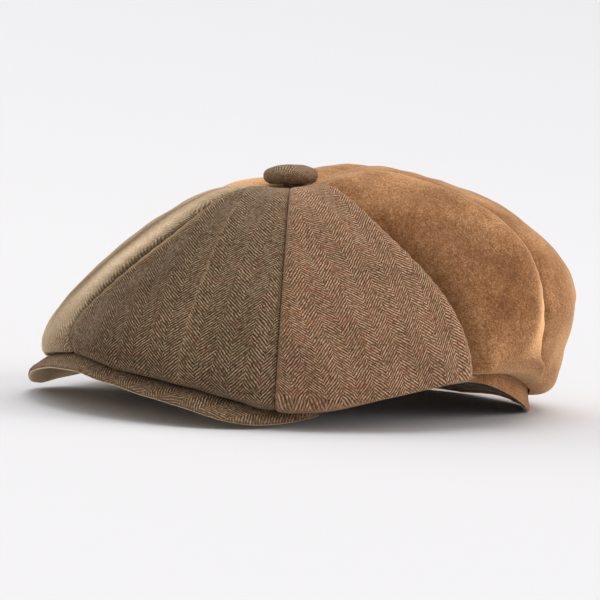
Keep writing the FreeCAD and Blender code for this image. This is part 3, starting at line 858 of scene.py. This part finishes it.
def peak_grid(depth, start, inset, turn, rows=40, round_rows=9):
    """Points of one layer of the peak, depth below its upper side, from its root to
    inset from its edge. turn is how far the edge is rolled, in quarter turns: down if
    positive, up if negative."""
    columns = 160
    angle = PEAK_END * np.linspace(-1.0, 1.0, columns)[None, :]
    root = reach(angle, RIM_WIDE, RIM_LONG) + start
    edge = outline_reach(angle) - inset
    bend = 0.5 * PEAK_THICK if turn else 0.0
    corner = np.linspace(0.0, 1.0, round_rows + 1)[1:, None] * abs(turn) * math.pi / 2.0
    level = root + np.linspace(0.0, 1.0, rows)[:, None] * (edge - bend - root)
    radius, run = level, level
    fall, out = 0.0 * level, 0.0 * level
    if turn:
        radius = np.concatenate([level, edge - bend + bend * np.sin(corner)])
        run = np.concatenate([level, edge - bend + bend * corner])
        fall = np.concatenate([fall, bend * (1.0 - np.cos(corner)) + 0.0 * edge])
        out = np.concatenate([out, np.sin(corner) + 0.0 * edge])
    x, y = radius * np.sin(angle), APEX_BACK - radius * np.cos(angle)
    points = together(x, y, peak_top(x, y) - depth - math.copysign(1.0, turn) * fall)
    flat = together(run * np.sin(angle), run * np.cos(angle), 0.35 * bell((run - edge) / 1.2))
    return angle, points, out, flat


def peak_piece(name, node, cloth, depth, thick, start, inset, turn):
    """One layer of the peak as a thin sheet, soft covers or stiff board. The upper
    cover has a groove where its edge is sewn."""
    angle, points, out, flat = peak_grid(depth, start, inset, turn)
    points[..., 2] += 0.15 * wobble(points, 22.0, 51)
    if turn > 0.0:
        groove = 0.45 * bell((out - 0.55) / 0.25)
        outward = together(np.sin(angle), -np.cos(angle), 0.0 * out)
        points = points - groove[..., None] * outward
    inner = points.copy()
    inner[..., 0] -= thick * out * np.sin(angle)
    inner[..., 1] += thick * out * np.cos(angle)
    downward = -1.0 if turn < 0.0 else 1.0
    inner[..., 2] -= thick * downward * np.sqrt(np.maximum(1.0 - out ** 2, 0.0))
    piece = sheet_piece(name, points, inner, flat)
    attach(piece, "cap", node, cloth)


peak_piece("peak_top_cloth", "peak_upper_cover", PEAK_CLOTH,
           depth=0.0, thick=0.8, start=-1.0, inset=0.3, turn=1.25)
peak_piece("peak_stiff_board", "peak_board", BOARD,
           depth=0.95, thick=1.1, start=-0.5, inset=2.4, turn=0.0)
peak_piece("peak_under_cloth", "peak_lower_cover", UNDER_CLOTH,
           depth=PEAK_THICK, thick=0.8, start=-1.0, inset=0.5, turn=-0.7)


# --- Covered button -------------------------------------------------------------------

def button_pose():
    """The button's place on its leaning joint, in millimetres: turn and shift."""
    joint = [item for item in frame["joints"] if item["name"] == "button_swivel"][0]
    turn = Vector(joint["axis"]).normalized().to_track_quat("Z", "X").to_matrix()
    return np.array(turn), np.array(Vector(joint["pos_m"]) * 1000.0)


def covered_button():
    """The button's cloth: a flattened dome, drawn in under its edge in small pleats and
    gathered round the prong."""
    rows, columns, square, thick = 56, 96, 0.80, 0.9
    lift, dome_centre, dome_high, neck = 2.1, 2.6, 4.9, 6.5
    pleats, pleat_deep, gather_deep, lean_high = 13.0, 0.30, 1.1, 0.9
    low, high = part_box("button_cover")
    radius = 0.5 * (high.x - low.x) * 1000.0
    sweep = np.linspace(0.02, 2.99, rows)[:, None]
    angle = np.linspace(0.0, TURN, columns, endpoint=False)[None, :]
    out = radius * np.sin(sweep) ** square
    pleat = np.clip((sweep - 1.75) / 0.5, 0.0, 1.0)
    out = out + pleat_deep * pleat * np.sin(pleats * angle + 0.5 * np.sin(3.0 * angle))
    up = dome_high * np.abs(np.cos(sweep)) ** square * np.sign(np.cos(sweep))
    height = lift + dome_centre + np.maximum(up, -dome_centre - 0.6)
    gather = np.clip((neck - out) / 3.5, 0.0, 1.0) * np.clip(sweep - 1.6, 0.0, 1.0)
    local = together(out * np.cos(angle), out * np.sin(angle), height - gather_deep * gather)
    local[..., 2] += 0.12 * wobble(local, 9.0, 61)
    lean = np.clip((0.42 * local[..., 0] + 0.90 * local[..., 1]) / radius, -1.0, 1.0)
    local[..., 2] += (lean_high * lean - 0.2) * np.clip(np.cos(sweep), 0.0, 1.0)
    inner = local.copy()
    inner[..., :2] *= 1.0 - thick / radius
    inner[..., 2] -= thick * np.cos(sweep)
    unrolled = 0.9 * sweep * radius
    edge_worn = 0.35 * bell((sweep - 1.5) / 0.3)
    flat = together(unrolled * np.cos(angle), unrolled * np.sin(angle), edge_worn)
    turn, shift = button_pose()
    outer, inner = (side @ turn.T + shift for side in (local, inner))
    piece = sheet_piece("button_cloth", outer, inner, flat, loop=True)
    attach(piece, "button", "button_cover", PEAK_CLOTH)


covered_button()

# Inner pieces keep their CAD shapes and get real materials.
HIDDEN = {
    "back_elastic": ribbed_elastic("woven_elastic"),
    "button_shell": worn_metal("button_aluminium", (0.80, 0.81, 0.82), 0.32),
    "button_back_plate": worn_metal("plate_aluminium", (0.76, 0.77, 0.78), 0.38),
    "apex_washer": worn_metal("washer_steel", (0.58, 0.57, 0.55), 0.35),
    "button_prong": worn_metal("prong_steel", (0.62, 0.61, 0.58), 0.30),
}
for node, material in HIDDEN.items():
    part = frame["nodes"][node]
    if not part.material_slots:
        part.data.materials.append(None)
    for entry in part.material_slots:
        entry.material = material


# --- Stage, light and camera ----------------------------------------------------------

def stage():
    """A pale round floor that curves up far away on all sides."""
    rings, columns, floor_wide, floor_rise = 60, 96, 6000.0, 620.0
    paper = Graph("stage_paper", roughness=0.9).finish((0.60, 0.607, 0.642))
    share = np.linspace(0.0, 1.0, rings)[:, None]
    angle = np.linspace(0.0, TURN, columns, endpoint=False)[None, :]
    radius = 10.0 + floor_wide * share
    height = floor_rise * np.clip((share - 0.2) / 0.8, 0.0, 1.0) ** 2
    points = together(radius * np.cos(angle), radius * np.sin(angle), height)
    faces = grid_faces(rings, columns, 0, False, True) + [list(range(columns))[::-1]]
    floor = make_piece("stage_floor", points.reshape(-1, 3), faces, np.zeros((rings * columns, 3)))
    floor.data.materials.append(paper)


def sun(name, direction, strength, spread, color):
    """Soft light from one direction, the same at every distance."""
    data = bpy.data.lights.new(name, "SUN")
    data.energy, data.color, data.angle = strength, color, math.radians(spread)
    light = bpy.data.objects.new(name, data)
    light.rotation_euler = Vector(direction).to_track_quat("Z", "Y").to_euler()
    bpy.context.scene.collection.objects.link(light)


def camera():
    """Near the wearer's left front, a little above level, with a long lens."""
    azimuth, elevation, roll = (math.radians(value) for value in (54.4, 3.16, -3.0))
    distance, lens = 1.2815, 160.8
    target = Vector((0.0, 0.0, 0.070))
    off_right, off_up = -0.0107, -0.0205
    level = Vector((math.cos(azimuth), math.sin(azimuth), 0.0))
    ahead = Vector((math.sin(azimuth), -math.cos(azimuth), 0.0))
    back = ahead * math.cos(elevation) + Vector((0.0, 0.0, math.sin(elevation)))
    rise = back.cross(level)
    right = level * math.cos(roll) - rise * math.sin(roll)
    up = level * math.sin(roll) + rise * math.cos(roll)
    position = target + back * distance
    aim = target + right * off_right + up * off_up
    back = (position - aim).normalized()
    right = up.cross(back).normalized()
    up = back.cross(right)
    data = bpy.data.cameras.new("camera")
    data.lens, data.sensor_width, data.sensor_fit = lens, 36.0, "HORIZONTAL"
    data.clip_end = 50.0
    item = bpy.data.objects.new("camera", data)
    matrix = Matrix((right, up, back)).transposed().to_4x4()
    matrix.translation = position
    item.matrix_world = matrix
    bpy.context.scene.collection.objects.link(item)
    bpy.context.scene.camera = item


def studio():
    """A white surround."""
    world = bpy.data.worlds.new("studio")
    world.use_nodes = True
    background = world.node_tree.nodes["Background"]
    background.inputs["Color"].default_value = (1.0, 1.0, 1.0, 1.0)
    background.inputs["Strength"].default_value = 0.56
    bpy.context.scene.world = world
    bpy.context.scene.view_settings.view_transform = "Standard"


stage()
studio()
sun("top_light", (-0.1, 0.35, 1.0), 1.9, 60.0, (1.0, 0.97, 0.93))
sun("right_light", (-1.0, -0.2, 0.6), 1.0, 45.0, (1.0, 0.95, 0.88))
sun("back_light", (0.50, 1.0, 0.28), 2.6, 45.0, (1.0, 0.94, 0.86))
camera()
